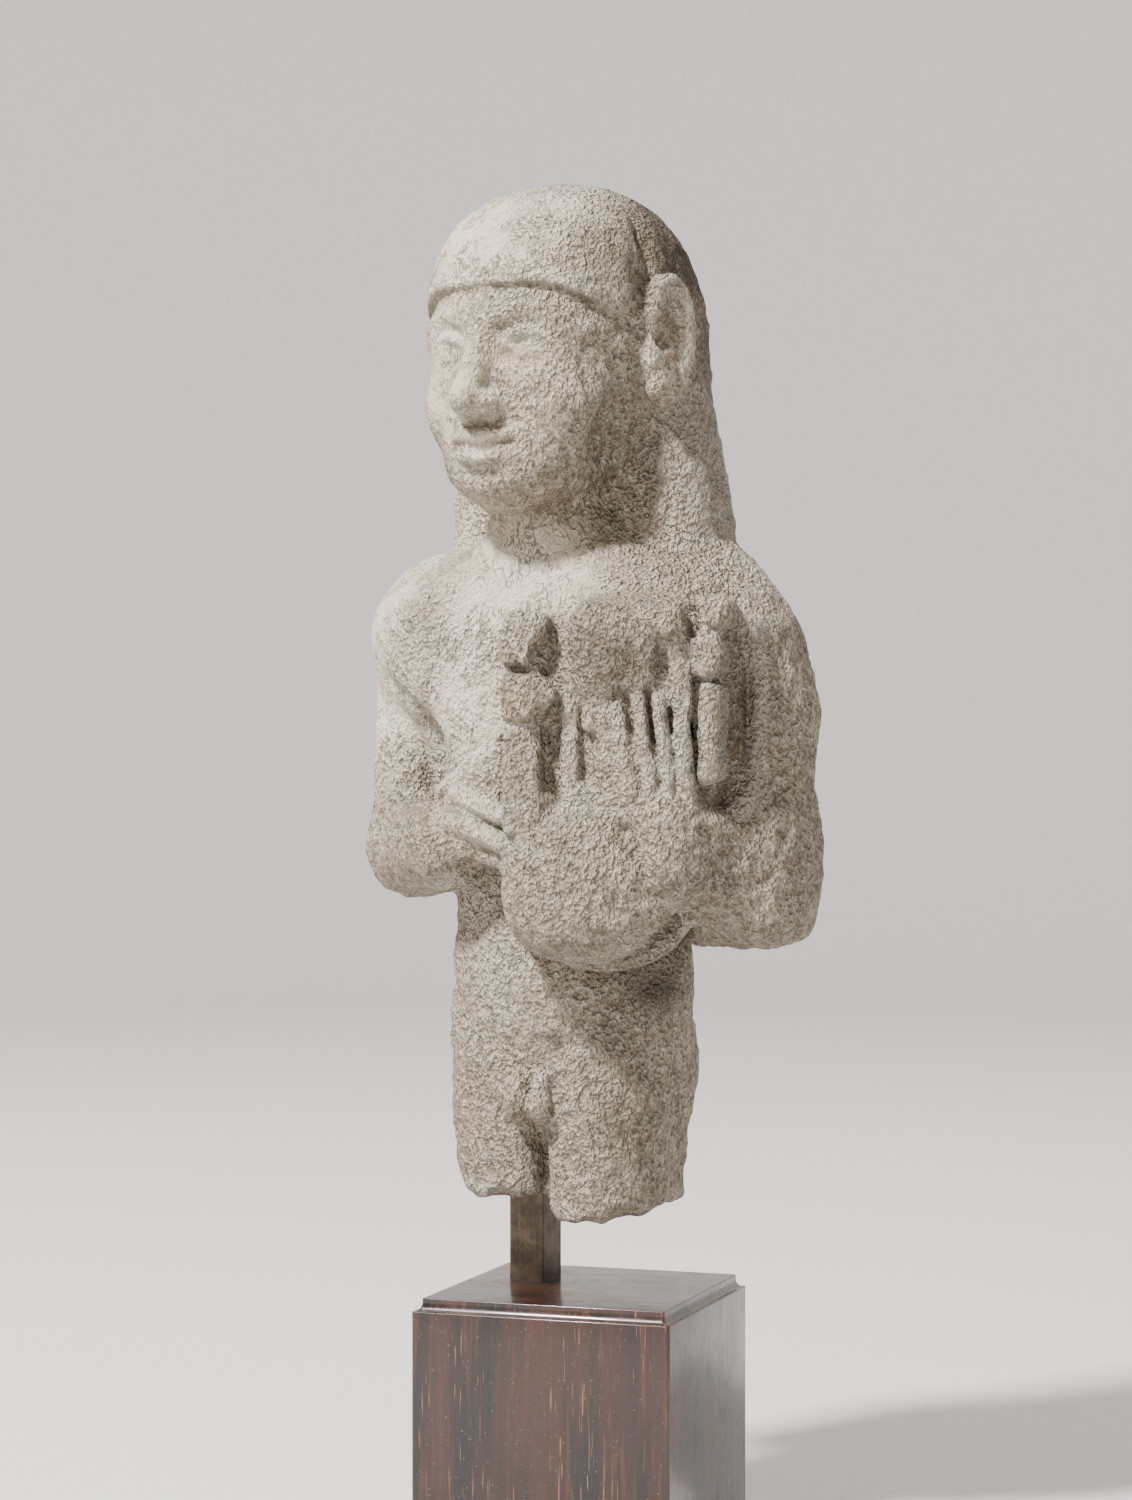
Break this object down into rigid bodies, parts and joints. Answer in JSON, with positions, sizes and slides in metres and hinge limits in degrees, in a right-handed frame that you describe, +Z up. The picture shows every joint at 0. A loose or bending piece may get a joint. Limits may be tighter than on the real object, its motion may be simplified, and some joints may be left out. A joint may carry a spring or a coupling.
{
  "type": "archaic stone statuette of a lyre player",
  "caption": "Broken archaic stone statuette of a long-haired lyre player, held up by a square metal rod in a moulded dark wooden block.",
  "frame": {"origin": "centre of the block's underside", "axes": "+Z up; the block's sides lie along X and Y; the figure faces about -Y, turned 9 degrees towards -X"},
  "size_m": [0.1192, 0.0762, 0.3278],
  "materials": {
    "limestone": "weathered, grainy, matt",
    "bronzed_steel": "brown patinated, satin",
    "dark_wood": "polished, fine straight grain"
  },
  "bodies": {
    "root": {"statuette": "limestone", "mount_rod": "bronzed_steel", "base_block": "dark_wood"}
  },
  "joints": []
}
